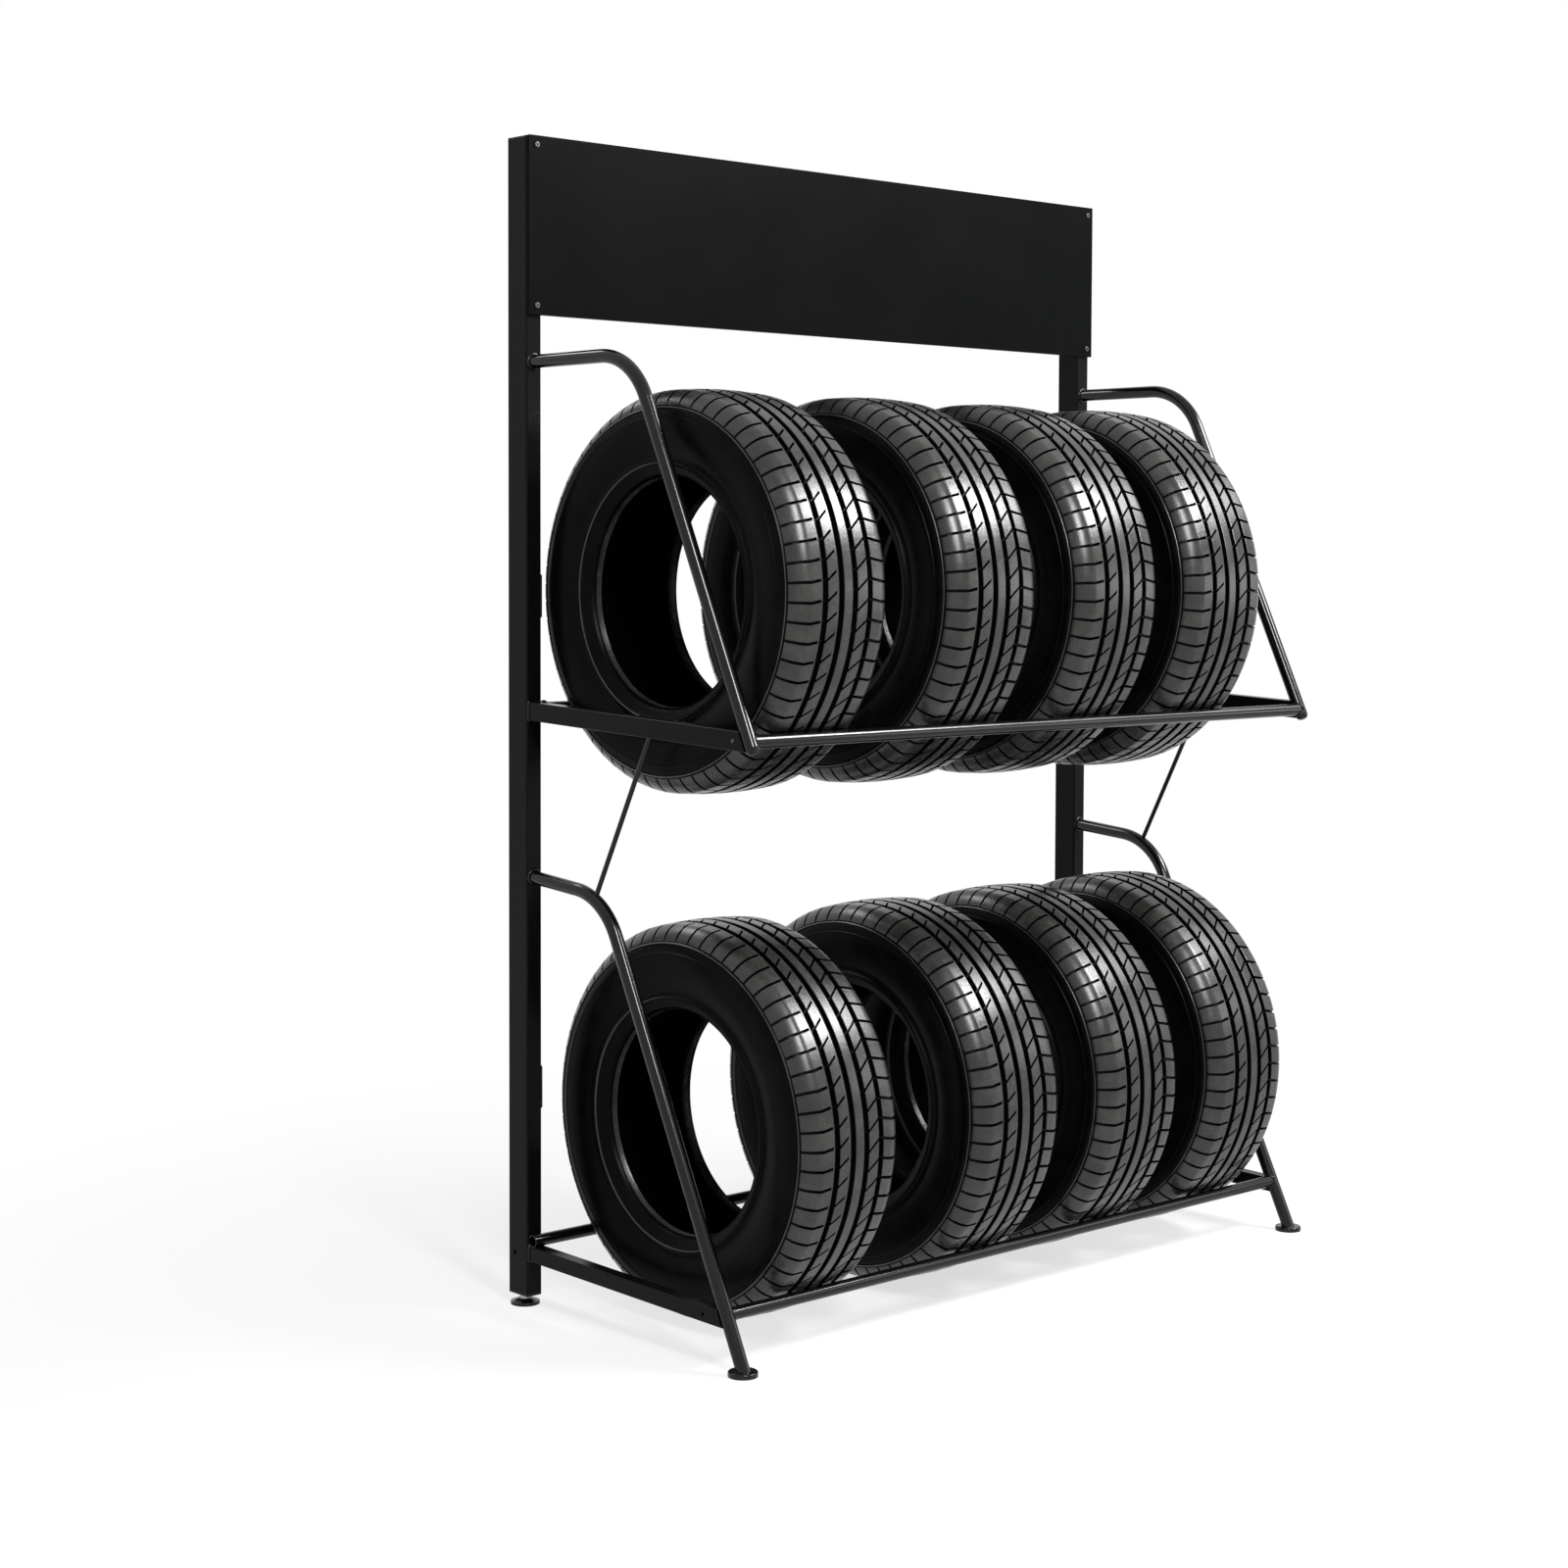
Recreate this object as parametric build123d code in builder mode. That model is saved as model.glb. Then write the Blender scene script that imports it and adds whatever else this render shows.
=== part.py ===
from build123d import *
from math import cos, radians, sin, sqrt, tan
import os

# Two-tier tyre storage rack with a blank header panel and eight stored tyres. Millimetres.
# X runs along the rack, -Y is the side that the tyres are lifted out of, +Z is up.
# The origin is on the floor, at the middle of the rack's bounding box.
# Side-frame points are (forward, height): forward is measured from the uprights' front faces.

os.makedirs("parts", exist_ok=True)

# ---------------------------------------------------------------- overall
rack_length = 1360.0  # over the outer faces of the uprights
rack_height = 1890.0  # floor to the top of the caps
foot_height = 20.0  # floor to the bottom of the uprights
seat_gap = 0.3  # play between a loose piece and its seat
fit_clearance = 0.2  # play of a plug in its tube

# ---------------------------------------------------------------- uprights
upright_width = 30.0
upright_depth = 50.0
upright_wall = 2.0
upright_corner = 3.0
cap_thickness = 3.0
cap_leg_length = 14.0
cap_leg_wall = 2.0
cap_edge_radius = 1.0
side_hole_radius = 3.5
side_hole_height = 85.0
side_hole_setback = 33.0  # behind the front face

# ---------------------------------------------------------------- header panel
header_height = 285.0
header_depth = 8.0
header_sheet = 1.5
header_corner = 1.2
header_boss_radius = 7.0
screw_inset = 15.0  # from the panel's edges
screw_radius = 2.5
screw_clearance = 0.25
screw_head_radius = 5.0
screw_head_height = 2.8
screw_socket_radius = 1.8
screw_socket_depth = 1.4
screw_reach = 6.0  # past the upright's front wall

# ---------------------------------------------------------------- bent hoops
hoop_radius = 11.0
hoop_wall = 2.0
hoop_bend_radius = 120.0
upper_hoop_height = 1531.0
upper_hoop_corner_reach = 248.0
upper_hoop_reach = 520.0
hoop_overrun = 19.0  # past the front rail's axis
hoop_end_rounding = 8.5
hoop_end_plug_length = 9.0
lower_hoop_height = 701.0
lower_hoop_corner_reach = 180.0
lower_hoop_corner_height = 686.0
lower_hoop_reach = 508.0
weld_ring_width = 3.0
weld_ring_length = 4.0

# ---------------------------------------------------------------- side rails
side_rail_width = 24.0
side_rail_wall = 1.5
side_rail_corner = 2.0
upper_side_rail_depth = 30.0
upper_side_rail_height = 970.0  # of its axis, at the uprights
upper_side_rail_slope = 2.5  # degrees, falling to the front
lower_side_rail_depth = 25.0
lower_side_rail_height = 87.5
lower_side_rail_slope = 1.1
side_rail_lap = 5.0  # of its walls past the back of a hoop's leg
rivet_setback = 25.0  # behind the upper front rail's axis
rivet_head_radius = 3.2
rivet_head_height = 1.4
rivet_radius = 2.0
lower_rail_hole_radius = 3.0
lower_rail_hole_forward = 430.0

# ---------------------------------------------------------------- long rails
upper_front_rail_radius = 10.65
rail_radius = 10.0
rail_wall = 1.5
upper_rear_rail_rise = 5.0  # above the side rails' axis at the uprights
lower_front_rail_height = 84.0

# ---------------------------------------------------------------- braces and buffer pads
brace_radius = 4.0
brace_top_forward = 290.0
upper_buffer_drop = 9.5  # below the upper tyres' axle line
lower_buffer_rise = 28.0  # above the lower tyres' axle line
buffer_height = 70.0
buffer_depth = 30.0
buffer_thickness = 9.0
buffer_corner = 3.0

# ---------------------------------------------------------------- feet
socket_flange = 3.0
socket_leg_length = 16.0
socket_leg_wall = 2.0
socket_boss_radius = 10.0
socket_length = 45.0
stud_radius = 6.0
stud_clearance = 0.15
stud_length = 66.0
stud_socket_depth = 5.0
hex_radius = 9.8  # across the corners
pad_radius = 24.0
pad_rim_height = 5.0
pad_hub_radius = 12.0
pad_height = 9.0
pad_edge_radius = 1.5
glide_radius = 23.0
glide_height = 8.0
glide_edge_radius = 2.5
glide_stem_length = 28.0

# ---------------------------------------------------------------- tyres
tyre_radius = 316.0
tyre_width = 210.0
tread_half_width = 76.0
tread_crown_drop = 4.0
tread_thickness = 12.5
shoulder_bulge = 18.6
shoulder_drop = 21.0  # below the tread's crown
widest_drop = 54.0
sidewall_thickness = 8.5
flange_rise = 17.0  # above the bead
flange_half_width = 95.0
bead_heel_half_width = 90.0
bead_toe_half_width = 72.0
bead_radius = 178.0
bead_height = 12.0
groove_depth = 8.0
inner_groove_offset = 14.0
inner_groove_width = 11.0
outer_groove_offset = 46.0
outer_groove_width = 10.5
upper_first_gap = 12.0  # between the left upright's inner face and the first tyre
upper_last_gap = 168.0  # between the last tyre and the right upright's inner face
upper_spacing = (333, 299, 278)  # pitches in proportion, spread over what the end gaps leave
lower_first_gap = 63.0
lower_last_gap = 64.0
lower_spacing = (372, 302, 289)

# ---------------------------------------------------------------- derived places
sides = (("left", -1), ("right", 1))
frame_x = rack_length / 2 - upright_width / 2  # middle plane of a side frame
upright_length = rack_height - cap_thickness - foot_height


def cradle(rear, rear_radius, front, front_radius):
    """Middle of a circle that touches both rails from above, as (forward, height)."""
    run, rise = front[0] - rear[0], front[1] - rear[1]
    span = sqrt(run * run + rise * rise)
    reach_rear = tyre_radius + seat_gap + rear_radius
    reach_front = tyre_radius + seat_gap + front_radius
    along = (span * span + reach_rear**2 - reach_front**2) / (2 * span)
    above = sqrt(reach_rear**2 - along**2)
    forward = rear[0] + (along * run - above * rise) / span
    height = rear[1] + (along * rise + above * run) / span
    return forward, height


upper_front = (
    upper_hoop_reach,
    upper_side_rail_height - upper_hoop_reach * tan(radians(upper_side_rail_slope)),
)
leg_fall = (lower_hoop_corner_height - lower_front_rail_height) / (lower_hoop_corner_height - glide_height)
lower_front = (
    lower_hoop_corner_reach + leg_fall * (lower_hoop_reach - lower_hoop_corner_reach),
    lower_front_rail_height,
)
lower_rail_angle = radians(lower_side_rail_slope)
upper_rear = (rail_radius, upper_side_rail_height + upper_rear_rail_rise)
lower_rear = (
    rail_radius,
    lower_side_rail_height
    + (lower_side_rail_depth / 2 + rail_radius) / cos(lower_rail_angle)
    - rail_radius * tan(lower_rail_angle),
)
upper_tyre = cradle(upper_rear, rail_radius, upper_front, upper_front_rail_radius)
lower_tyre = cradle(lower_rear, rail_radius, lower_front, rail_radius)

front_reach = max(upper_tyre[0], lower_tyre[0]) + tyre_radius
rear_reach = max(upright_depth, tyre_radius - min(upper_tyre[0], lower_tyre[0]))
front_y = (front_reach - rear_reach) / 2  # plane of the uprights' front faces
upright_y = front_y + upright_depth / 2
front_plane = Plane(origin=(0, front_y, 0), x_dir=(1, 0, 0), z_dir=(0, -1, 0))


def side_point(forward, height):
    """A side-frame point in the local axes of a YZ plane."""
    return front_y - forward, height


def space_point(x, forward, height):
    return Vector(x, front_y - forward, height)


def save(builder, name):
    builder.part.label = name
    export_step(builder.part, f"parts/{name}.step")


def tube_section(radius, wall):
    Circle(radius)
    Circle(radius - wall, mode=Mode.SUBTRACT)


def plug_section(wall):
    """Hollow plug that fits an upright's bore."""
    width = upright_width - 2 * upright_wall - 2 * fit_clearance
    depth = upright_depth - 2 * upright_wall - 2 * fit_clearance
    RectangleRounded(width, depth, upright_corner - upright_wall)
    Rectangle(width - 2 * wall, depth - 2 * wall, mode=Mode.SUBTRACT)


# Directions in a side frame. Each is a unit vector in the YZ plane.
upper_corner = space_point(0, upper_hoop_corner_reach, upper_hoop_height)
upper_leg_way = (space_point(0, *upper_front) - upper_corner).normalized()
lower_root = space_point(0, 0, lower_hoop_height)
lower_corner = space_point(0, lower_hoop_corner_reach, lower_hoop_corner_height)
lower_foot = space_point(0, lower_hoop_reach, glide_height)
lower_top_way = (lower_corner - lower_root).normalized()
lower_leg_way = (lower_foot - lower_corner).normalized()

# ---------------------------------------------------------------- uprights, caps and foot sockets
for side, sign in sides:
    x = sign * frame_x

    with BuildPart() as upright:
        with BuildSketch(Plane.XY.offset(foot_height)):
            with Locations((x, upright_y)):
                RectangleRounded(upright_width, upright_depth, upright_corner)
                RectangleRounded(
                    upright_width - 2 * upright_wall,
                    upright_depth - 2 * upright_wall,
                    upright_corner - upright_wall,
                    mode=Mode.SUBTRACT,
                )
        extrude(amount=upright_length)
        for height in (rack_height - screw_inset, rack_height - header_height + screw_inset):
            with Locations(Plane(origin=(x, front_y, height), z_dir=(0, -1, 0))):
                Hole(radius=screw_radius + screw_clearance, depth=2 * upright_wall)
        hole_at = (sign * rack_length / 2, front_y + side_hole_setback, side_hole_height)
        with Locations(Plane(origin=hole_at, z_dir=(sign, 0, 0))):
            Hole(radius=side_hole_radius, depth=2 * upright_wall)
    save(upright, f"upright_{side}")

    with BuildPart() as cap:
        with BuildSketch(Plane.XY.offset(rack_height - cap_thickness)):
            with Locations((x, upright_y)):
                RectangleRounded(upright_width, upright_depth, upright_corner)
        extrude(amount=cap_thickness)
        fillet(cap.faces().sort_by(Axis.Z)[-1].edges(), radius=cap_edge_radius)
        with BuildSketch(Plane.XY.offset(rack_height - cap_thickness)):
            with Locations((x, upright_y)):
                plug_section(cap_leg_wall)
        extrude(amount=-cap_leg_length)
        with Locations(Plane(origin=(x, front_y, rack_height - screw_inset), z_dir=(0, -1, 0))):
            Hole(radius=screw_radius + screw_clearance, depth=upright_depth / 2)
    save(cap, f"top_cap_{side}")

    with BuildPart() as socket:
        with BuildSketch(Plane.XY.offset(foot_height - socket_flange)):
            with Locations((x, upright_y)):
                RectangleRounded(upright_width, upright_depth, upright_corner)
        extrude(amount=socket_flange)
        with BuildSketch(Plane.XY.offset(foot_height)):
            with Locations((x, upright_y)):
                plug_section(socket_leg_wall)
        extrude(amount=socket_leg_length)
        with BuildSketch(Plane.XY.offset(foot_height)):
            with Locations((x, upright_y)):
                Circle(socket_boss_radius)
        extrude(amount=socket_length)
        with BuildSketch(Plane.XY.offset(foot_height - socket_flange)):
            with Locations((x, upright_y)):
                Circle(stud_radius + stud_clearance)
        extrude(amount=socket_flange + socket_length, mode=Mode.SUBTRACT)
    save(socket, f"foot_socket_{side}")

# ---------------------------------------------------------------- levelling feet under the uprights
for side, sign in sides:
    x = sign * frame_x

    with BuildPart() as pad:
        with Locations((x, upright_y, 0)):
            Cylinder(pad_radius, pad_rim_height, align=(Align.CENTER, Align.CENTER, Align.MIN))
        fillet(pad.edges().filter_by(GeomType.CIRCLE).group_by(Axis.Z)[-1], radius=pad_edge_radius)
        with Locations((x, upright_y, pad_rim_height)):
            Cone(
                pad_radius - 2 * pad_edge_radius,
                pad_hub_radius,
                pad_height - pad_rim_height,
                align=(Align.CENTER, Align.CENTER, Align.MIN),
            )
        with Locations((x, upright_y, pad_height)):
            Hole(radius=stud_radius, depth=stud_socket_depth)
    save(pad, f"levelling_pad_{side}")

    hex_height = foot_height - socket_flange - seat_gap - pad_height
    with BuildPart() as stud:
        with BuildSketch(Plane.XY.offset(pad_height - stud_socket_depth)):
            with Locations((x, upright_y)):
                Circle(stud_radius)
        extrude(amount=stud_length)
        with BuildSketch(Plane.XY.offset(pad_height)):
            with Locations((x, upright_y)):
                RegularPolygon(hex_radius, 6)
        extrude(amount=hex_height)
    save(stud, f"levelling_stud_{side}")


# ---------------------------------------------------------------- hoops, weld rings and front glides
def bent_bar(x, points, radius, mode=Mode.ADD):
    """Round bar bent at its middle point, in the side frame at x."""
    with BuildLine(Plane.YZ.offset(x)) as path:
        FilletPolyline(*[(point.Y, point.Z) for point in points], radius=hoop_bend_radius)
    with BuildSketch(Plane(origin=path.line @ 0, z_dir=path.line % 0)) as section:
        Circle(radius)
    sweep(section.sketch, path=path.line, mode=mode)


for side, sign in sides:
    x = sign * frame_x
    across = Vector(x, 0, 0)

    with BuildPart() as upper_hoop:
        root = space_point(x, 0, upper_hoop_height)
        corner = space_point(x, upper_hoop_corner_reach, upper_hoop_height)
        end = space_point(x, *upper_front) + upper_leg_way * hoop_overrun
        bent_bar(x, (root, corner, end), hoop_radius)
        fillet(upper_hoop.edges().group_by(Axis.Z)[0], radius=hoop_end_rounding)
        bore_end = end - upper_leg_way * hoop_end_plug_length
        bent_bar(x, (root, corner, bore_end), hoop_radius - hoop_wall, mode=Mode.SUBTRACT)
    save(upper_hoop, f"upper_hoop_{side}")

    with BuildPart() as lower_hoop:
        root = lower_root - lower_top_way * hoop_radius
        foot = lower_foot + lower_leg_way * hoop_radius
        bent_bar(x, (root, lower_corner, foot), hoop_radius)
        bent_bar(x, (root, lower_corner, foot), hoop_radius - hoop_wall, mode=Mode.SUBTRACT)
        split(bisect_by=front_plane, keep=Keep.TOP)
        split(bisect_by=Plane.XY.offset(glide_height), keep=Keep.TOP)
    save(lower_hoop, f"lower_hoop_{side}")

    with BuildPart() as weld_rings:
        roots = (
            (space_point(x, 0, upper_hoop_height), Vector(0, -1, 0)),
            (across + lower_root, lower_top_way),
        )
        for root, way in roots:
            with Locations(Plane(origin=root, z_dir=way)):
                Cone(hoop_radius + 2 * weld_ring_width, hoop_radius, 2 * weld_ring_length)
        for root, way in roots:
            with Locations(Plane(origin=root, z_dir=way)):
                Cylinder(hoop_radius, 4 * weld_ring_length, mode=Mode.SUBTRACT)
        split(bisect_by=front_plane, keep=Keep.TOP)
    save(weld_rings, f"weld_rings_{side}")

    with BuildPart() as glide:
        glide_foot = across + lower_foot
        with Locations((glide_foot.X, glide_foot.Y, 0)):
            Cylinder(glide_radius, glide_height, align=(Align.CENTER, Align.CENTER, Align.MIN))
        fillet(glide.edges().filter_by(GeomType.CIRCLE).group_by(Axis.Z)[-1], radius=glide_edge_radius)
        with BuildSketch(Plane(origin=glide_foot + lower_leg_way * glide_height / 2, z_dir=-lower_leg_way)):
            Circle(hoop_radius - hoop_wall - fit_clearance)
        extrude(amount=glide_stem_length)
    save(glide, f"front_glide_{side}")


# ---------------------------------------------------------------- side rails
def side_rail(sign, height, slope, depth, leg_way, front_place, front_radius):
    """Rectangular tube from an upright's front face, coped to a hoop's leg and the front rail."""
    x = sign * frame_x
    leg_point = space_point(x, *front_place)
    way = Vector(0, -cos(radians(slope)), -sin(radians(slope)))
    start = space_point(x, 0, height) - way * depth
    rear_way = Vector(0, -leg_way.Z, leg_way.Y)
    with BuildSketch(Plane(origin=start, x_dir=(1, 0, 0), z_dir=way)) as section:
        RectangleRounded(side_rail_width, depth, side_rail_corner)
        RectangleRounded(
            side_rail_width - 2 * side_rail_wall,
            depth - 2 * side_rail_wall,
            side_rail_corner - side_rail_wall,
            mode=Mode.SUBTRACT,
        )
    extrude(section.sketch, amount=depth + upper_hoop_reach + lower_hoop_reach)
    split(bisect_by=front_plane, keep=Keep.TOP)
    end = leg_point + rear_way * (hoop_radius - side_rail_lap)
    split(bisect_by=Plane(origin=end, z_dir=rear_way), keep=Keep.TOP)
    with Locations(Plane(origin=leg_point, z_dir=leg_way)):
        Cylinder(hoop_radius, 8 * depth, mode=Mode.SUBTRACT)
    with Locations(Plane(origin=leg_point, z_dir=(-sign, 0, 0))):
        rail_end = (Align.CENTER, Align.CENTER, Align.MIN)
        Cylinder(front_radius, side_rail_width, align=rail_end, mode=Mode.SUBTRACT)


rivet_forward = upper_hoop_reach - rivet_setback
rivet_height = upper_side_rail_height - rivet_forward * tan(radians(upper_side_rail_slope))
lower_hole_height = lower_side_rail_height - lower_rail_hole_forward * tan(lower_rail_angle)

for side, sign in sides:
    outer_x = sign * (frame_x + side_rail_width / 2)
    rivet_at = space_point(outer_x, rivet_forward, rivet_height)

    with BuildPart() as upper_side_rail:
        side_rail(
            sign,
            upper_side_rail_height,
            upper_side_rail_slope,
            upper_side_rail_depth,
            upper_leg_way,
            upper_front,
            upper_front_rail_radius,
        )
        with Locations(Plane(origin=rivet_at, z_dir=(sign, 0, 0))):
            Hole(radius=rivet_radius, depth=2 * side_rail_wall)
    save(upper_side_rail, f"upper_side_rail_{side}")

    with BuildPart() as lower_side_rail:
        side_rail(
            sign,
            lower_side_rail_height,
            lower_side_rail_slope,
            lower_side_rail_depth,
            lower_leg_way,
            lower_front,
            rail_radius,
        )
        hole_at = space_point(outer_x, lower_rail_hole_forward, lower_hole_height)
        with Locations(Plane(origin=hole_at, z_dir=(sign, 0, 0))):
            Hole(radius=lower_rail_hole_radius, depth=2 * side_rail_wall)
    save(lower_side_rail, f"lower_side_rail_{side}")

    with BuildPart() as rivet:
        with Locations(Plane(origin=rivet_at, z_dir=(sign, 0, 0))):
            Cylinder(rivet_head_radius, rivet_head_height, align=(Align.CENTER, Align.CENTER, Align.MIN))
        outer_circle = rivet.edges().filter_by(GeomType.CIRCLE).sort_by(Axis.X)[-1 if sign > 0 else 0]
        fillet(outer_circle, radius=rivet_head_height / 2)
        with Locations(Plane(origin=rivet_at, z_dir=(sign, 0, 0))):
            Cylinder(rivet_radius, 2 * side_rail_wall, align=(Align.CENTER, Align.CENTER, Align.MAX))
    save(rivet, f"rail_rivet_{side}")


# ---------------------------------------------------------------- long rails
def long_rail(place, radius, half_length):
    """Round tube along the rack, centred on a side-frame point."""
    with BuildSketch(Plane.YZ.offset(-half_length)) as section:
        with Locations(side_point(*place)):
            tube_section(radius, rail_wall)
    extrude(section.sketch, amount=2 * half_length)


def cope(place, way):
    """Saddle cuts where a rail's ends meet the hoops' legs."""
    for side, sign in sides:
        with Locations(Plane(origin=space_point(sign * frame_x, *place), z_dir=way)):
            Cylinder(hoop_radius, 8 * hoop_radius, mode=Mode.SUBTRACT)


with BuildPart() as upper_rear_rail:
    long_rail(upper_rear, rail_radius, frame_x - side_rail_width / 2)
save(upper_rear_rail, "upper_rear_rail")

with BuildPart() as lower_rear_rail:
    long_rail(lower_rear, rail_radius, frame_x + side_rail_width / 2)
save(lower_rear_rail, "lower_rear_rail")

with BuildPart() as upper_front_rail:
    long_rail(upper_front, upper_front_rail_radius, frame_x)
    cope(upper_front, upper_leg_way)
save(upper_front_rail, "upper_front_rail")

with BuildPart() as lower_front_rail:
    long_rail(lower_front, rail_radius, frame_x)
    cope(lower_front, lower_leg_way)
save(lower_front_rail, "lower_front_rail")

# ---------------------------------------------------------------- brace rods
# Each rod stands square on the outside of the lower hoop's bend and meets the upper side rail.
half_turn = radians(lower_top_way.get_angle(lower_leg_way)) / 2
inward = (lower_leg_way - lower_top_way).normalized()
bend_centre = lower_corner + inward * (hoop_bend_radius / cos(half_turn))
rail_tilt = radians(upper_side_rail_slope)
underside_height = upper_side_rail_height - upper_side_rail_depth / 2 / cos(rail_tilt)
brace_top = space_point(0, brace_top_forward, underside_height - brace_top_forward * tan(rail_tilt))
brace_way = (brace_top - bend_centre).normalized()
brace_foot = bend_centre + brace_way * (hoop_bend_radius + hoop_radius / 2)
underside = Plane(origin=brace_top, x_dir=(1, 0, 0), z_dir=(0, -sin(rail_tilt), cos(rail_tilt)))

for side, sign in sides:
    with BuildPart() as brace:
        with BuildSketch(Plane(origin=brace_foot + Vector(sign * frame_x, 0, 0), z_dir=brace_way)):
            Circle(brace_radius)
        extrude(amount=(brace_top - brace_foot).length + 4 * brace_radius)
        split(bisect_by=underside, keep=Keep.BOTTOM)
        with Locations(Plane(origin=bend_centre + Vector(sign * frame_x, 0, 0), z_dir=(1, 0, 0))):
            Torus(hoop_bend_radius, hoop_radius, mode=Mode.SUBTRACT)
    save(brace, f"brace_rod_{side}")

# ---------------------------------------------------------------- buffer pads on the uprights
# They keep the outer tyres off the uprights, where a tyre is nearest to them.
buffer_heights = (lower_tyre[1] + lower_buffer_rise, upper_tyre[1] - upper_buffer_drop)
for side, sign in sides:
    inner_x = sign * (rack_length / 2 - upright_width)
    with BuildPart() as buffers:
        for height in buffer_heights:
            pad_middle = (inner_x, upright_y, height)
            with BuildSketch(Plane(origin=pad_middle, x_dir=(0, 1, 0), z_dir=(-sign, 0, 0))):
                RectangleRounded(buffer_depth, buffer_height, buffer_corner)
        extrude(amount=buffer_thickness)
    save(buffers, f"buffer_pads_{side}")

# ---------------------------------------------------------------- header panel and its screws
header_middle = rack_height - header_height / 2
header_plane = Plane(origin=(0, front_y, header_middle), x_dir=(1, 0, 0), z_dir=(0, -1, 0))
screw_span_x = 2 * frame_x
screw_span_z = header_height - 2 * screw_inset

with BuildPart() as header_panel:
    with BuildSketch(header_plane):
        RectangleRounded(rack_length, header_height, header_corner)
    extrude(amount=header_depth)
    with BuildSketch(header_plane):
        Rectangle(rack_length - 2 * header_sheet, header_height - 2 * header_sheet)
    extrude(amount=header_depth - header_sheet, mode=Mode.SUBTRACT)
    with BuildSketch(header_plane):
        with GridLocations(screw_span_x, screw_span_z, 2, 2):
            Circle(header_boss_radius)
    extrude(amount=header_depth - header_sheet)
    with BuildSketch(header_plane):
        with GridLocations(screw_span_x, screw_span_z, 2, 2):
            Circle(screw_radius + screw_clearance)
    extrude(amount=header_depth, mode=Mode.SUBTRACT)
save(header_panel, "header_panel")

header_face = header_plane.offset(header_depth)
with BuildPart() as header_screws:
    with BuildSketch(header_face):
        with GridLocations(screw_span_x, screw_span_z, 2, 2):
            Circle(screw_head_radius)
    extrude(amount=screw_head_height)
    fillet(header_screws.faces().group_by(Axis.Y)[0].edges(), radius=screw_head_height / 2)
    with BuildSketch(header_face.offset(screw_head_height)):
        with GridLocations(screw_span_x, screw_span_z, 2, 2):
            RegularPolygon(screw_socket_radius, 6)
    extrude(amount=-screw_socket_depth, mode=Mode.SUBTRACT)
    with BuildSketch(header_face):
        with GridLocations(screw_span_x, screw_span_z, 2, 2):
            Circle(screw_radius)
    extrude(amount=-(header_depth + upright_wall + screw_reach))
save(header_screws, "header_screws")


# ---------------------------------------------------------------- tyres
def tyre_profile():
    """Section of a tyre carcass: local x along the axle, local y outward."""
    half = tyre_width / 2
    tread_edge = tyre_radius - tread_crown_drop
    inner_crown = tyre_radius - tread_thickness
    inner_half = half - sidewall_thickness
    shoulder_radius = tyre_radius - shoulder_drop
    widest_radius = tyre_radius - widest_drop
    flange_radius = bead_radius + flange_rise
    with BuildLine() as outline:
        ThreePointArc((-tread_half_width, tread_edge), (0, tyre_radius), (tread_half_width, tread_edge))
        for s in (1, -1):
            ThreePointArc(
                (s * tread_half_width, tread_edge),
                (s * (tread_half_width + shoulder_bulge), shoulder_radius),
                (s * half, widest_radius),
            )
            Spline(
                (s * half, widest_radius),
                (s * flange_half_width, flange_radius),
                tangents=((0, -1), (-s * 0.6, -0.8)),
            )
            Polyline(
                (s * flange_half_width, flange_radius),
                (s * bead_heel_half_width, bead_radius + bead_height / 2),
                (s * bead_toe_half_width, bead_radius),
                (s * bead_toe_half_width, bead_radius + bead_height),
            )
            ThreePointArc(
                (s * bead_toe_half_width, bead_radius + bead_height),
                (s * inner_half, widest_radius),
                (s * tread_half_width, inner_crown - tread_crown_drop),
            )
        ThreePointArc(
            (-tread_half_width, inner_crown - tread_crown_drop),
            (0, inner_crown),
            (tread_half_width, inner_crown - tread_crown_drop),
        )
    make_face(outline.edges())
    grooves = ((inner_groove_offset, inner_groove_width), (outer_groove_offset, outer_groove_width))
    for offset, width in grooves:
        with Locations((offset, tyre_radius), (-offset, tyre_radius)):
            Rectangle(width, 2 * groove_depth, mode=Mode.SUBTRACT)


outermost_x = rack_length / 2 - upright_width - tyre_width / 2
rows = (
    ("upper", upper_tyre, upper_first_gap, upper_last_gap, upper_spacing),
    ("lower", lower_tyre, lower_first_gap, lower_last_gap, lower_spacing),
)
for row, (forward, height), first_gap, last_gap, spacing in rows:
    tyre_x = first_gap - outermost_x
    span = 2 * outermost_x - first_gap - last_gap
    for number, share in enumerate((0,) + spacing, start=1):
        tyre_x += span * share / sum(spacing)
        middle = space_point(tyre_x, forward, height)
        with BuildPart() as tyre:
            with BuildSketch(Plane(origin=middle, x_dir=(1, 0, 0), z_dir=(0, -1, 0))):
                tyre_profile()
            revolve(axis=Axis(middle, (1, 0, 0)))
        save(tyre, f"tyre_{row}_{number}")
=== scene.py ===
import math

import bpy
from mathutils import Euler, Matrix, Vector


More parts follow.
